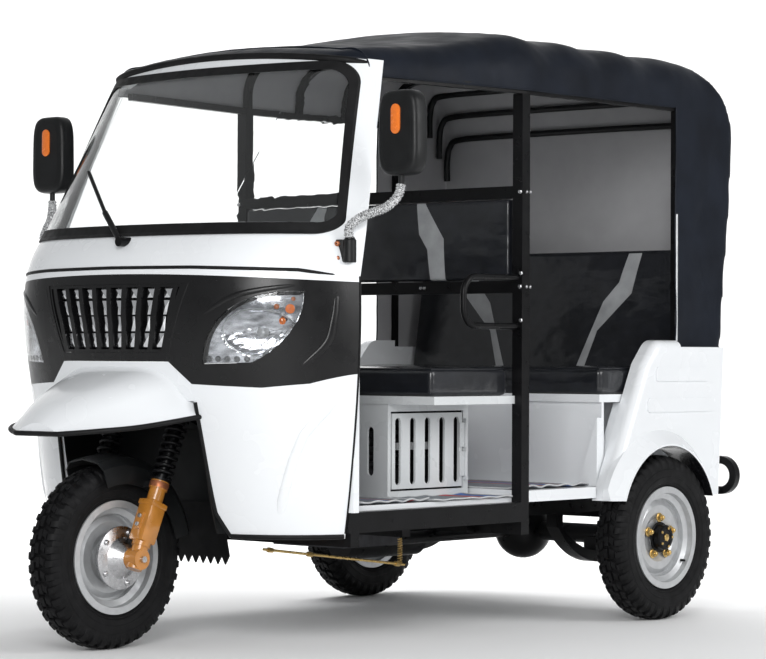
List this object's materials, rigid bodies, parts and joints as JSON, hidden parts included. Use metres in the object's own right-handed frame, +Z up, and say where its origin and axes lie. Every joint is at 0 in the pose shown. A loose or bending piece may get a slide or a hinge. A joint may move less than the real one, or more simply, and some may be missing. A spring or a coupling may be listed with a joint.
{
  "type": "auto rickshaw",
  "caption": "Open-sided passenger auto rickshaw with a raked front fork, rounded cowl and mask, canvas hood on tube bows, driver's seat over the engine box and a rear bench.",
  "frame": {"origin": "on the ground under the middle of the vehicle's box", "axes": "+X to the vehicle's left, +Y to its rear, +Z up; the vehicle faces -Y"},
  "size_m": [1.634, 2.601, 1.9],
  "materials": {
    "body_white": "gloss",
    "black_paint": "satin",
    "black_plastic": "satin",
    "mask_black": "gloss",
    "chrome": "polished",
    "clear_glass": "clear",
    "rubber": "matte",
    "tyre": "matte",
    "rim_silver": "satin",
    "fork_orange": "gloss",
    "bright_steel": "satin",
    "floor_mat": "matte",
    "hood_canvas": "matte",
    "black_vinyl": "satin",
    "seat_grey": "gloss",
    "red_lens": "gloss",
    "engine_alloy": "satin"
  },
  "bodies": {
    "body": {"chassis_rails": "black_paint", "chassis_crossmembers": "black_paint", "headstock": "black_paint", "floor_pan": "body_white", "floor_mats": "floor_mat", "wheel_well": "black_plastic", "mud_flap": "rubber", "windscreen_frame": "body_white", "mask_panel": "mask_black", "lower_cowl": "body_white", "front_mudguard": "body_white", "grille_bars": "mask_black", "grille_strips": "chrome", "windscreen_glass": "clear_glass", "windscreen_seal": "rubber", "wiper": "black_paint", "headlamp_bowls": "chrome", "headlamp_lenses": "clear_glass", "mirrors": "black_plastic", "dashboard": "black_plastic", "door_jambs": "black_paint", "hood_canopy": "hood_canvas", "hood_bows": "black_paint", "hood_rails": "black_paint", "cab_posts": "black_paint", "bulkhead_rails": "black_paint", "driver_backrest": "black_vinyl", "grab_handles": "black_paint", "seat_box": "seat_grey", "driver_cushion": "black_vinyl", "rear_bench": "seat_grey", "rear_cushion": "black_vinyl", "rear_backrest": "black_vinyl", "quarter_panels": "body_white", "tail_panel": "body_white", "tail_lamps": "red_lens", "rear_bumper": "black_paint", "engine_block": "engine_alloy", "rear_axle": "black_paint", "leaf_springs": "black_paint", "exhaust": "black_paint"},
    "steering": {"fork_legs": "fork_orange", "fork_springs": "black_paint", "fork_yoke": "black_paint", "handlebar": "black_paint", "fork_fender": "black_plastic", "front_axle": "bright_steel"},
    "front_wheel": {"front_tyre": "tyre", "front_rim": "rim_silver"},
    "rear_wheel_left": {"rear_tyre_left": "tyre", "rear_rim_left": "rim_silver"},
    "rear_wheel_right": {"rear_tyre_right": "tyre", "rear_rim_right": "rim_silver"},
    "seat_box_door": {"seat_box_door": "seat_grey"}
  },
  "joints": [
    {"name": "steering", "type": "hinge", "parent": "body", "child": "steering", "pos_m": [0, -0.99828, 0.25432], "axis": [0, 0.3907, 0.9205], "range_deg": [-38, 38]},
    {"name": "front_wheel_spin", "type": "hinge", "parent": "steering", "child": "front_wheel", "pos_m": [0, -1.0305, 0.268], "axis": [1, 0, 0], "continuous": true},
    {"name": "rear_left_wheel_spin", "type": "hinge", "parent": "body", "child": "rear_wheel_left", "pos_m": [0.636, 0.8255, 0.268], "axis": [1, 0, 0], "continuous": true},
    {"name": "rear_right_wheel_spin", "type": "hinge", "parent": "body", "child": "rear_wheel_right", "pos_m": [-0.636, 0.8255, 0.268], "axis": [1, 0, 0], "continuous": true},
    {"name": "seat_box_door_hinge", "type": "hinge", "parent": "body", "child": "seat_box_door", "pos_m": [0.407, 0.1305, 0.56], "axis": [0, 0, 1], "range_deg": [0, 90]}
  ]
}
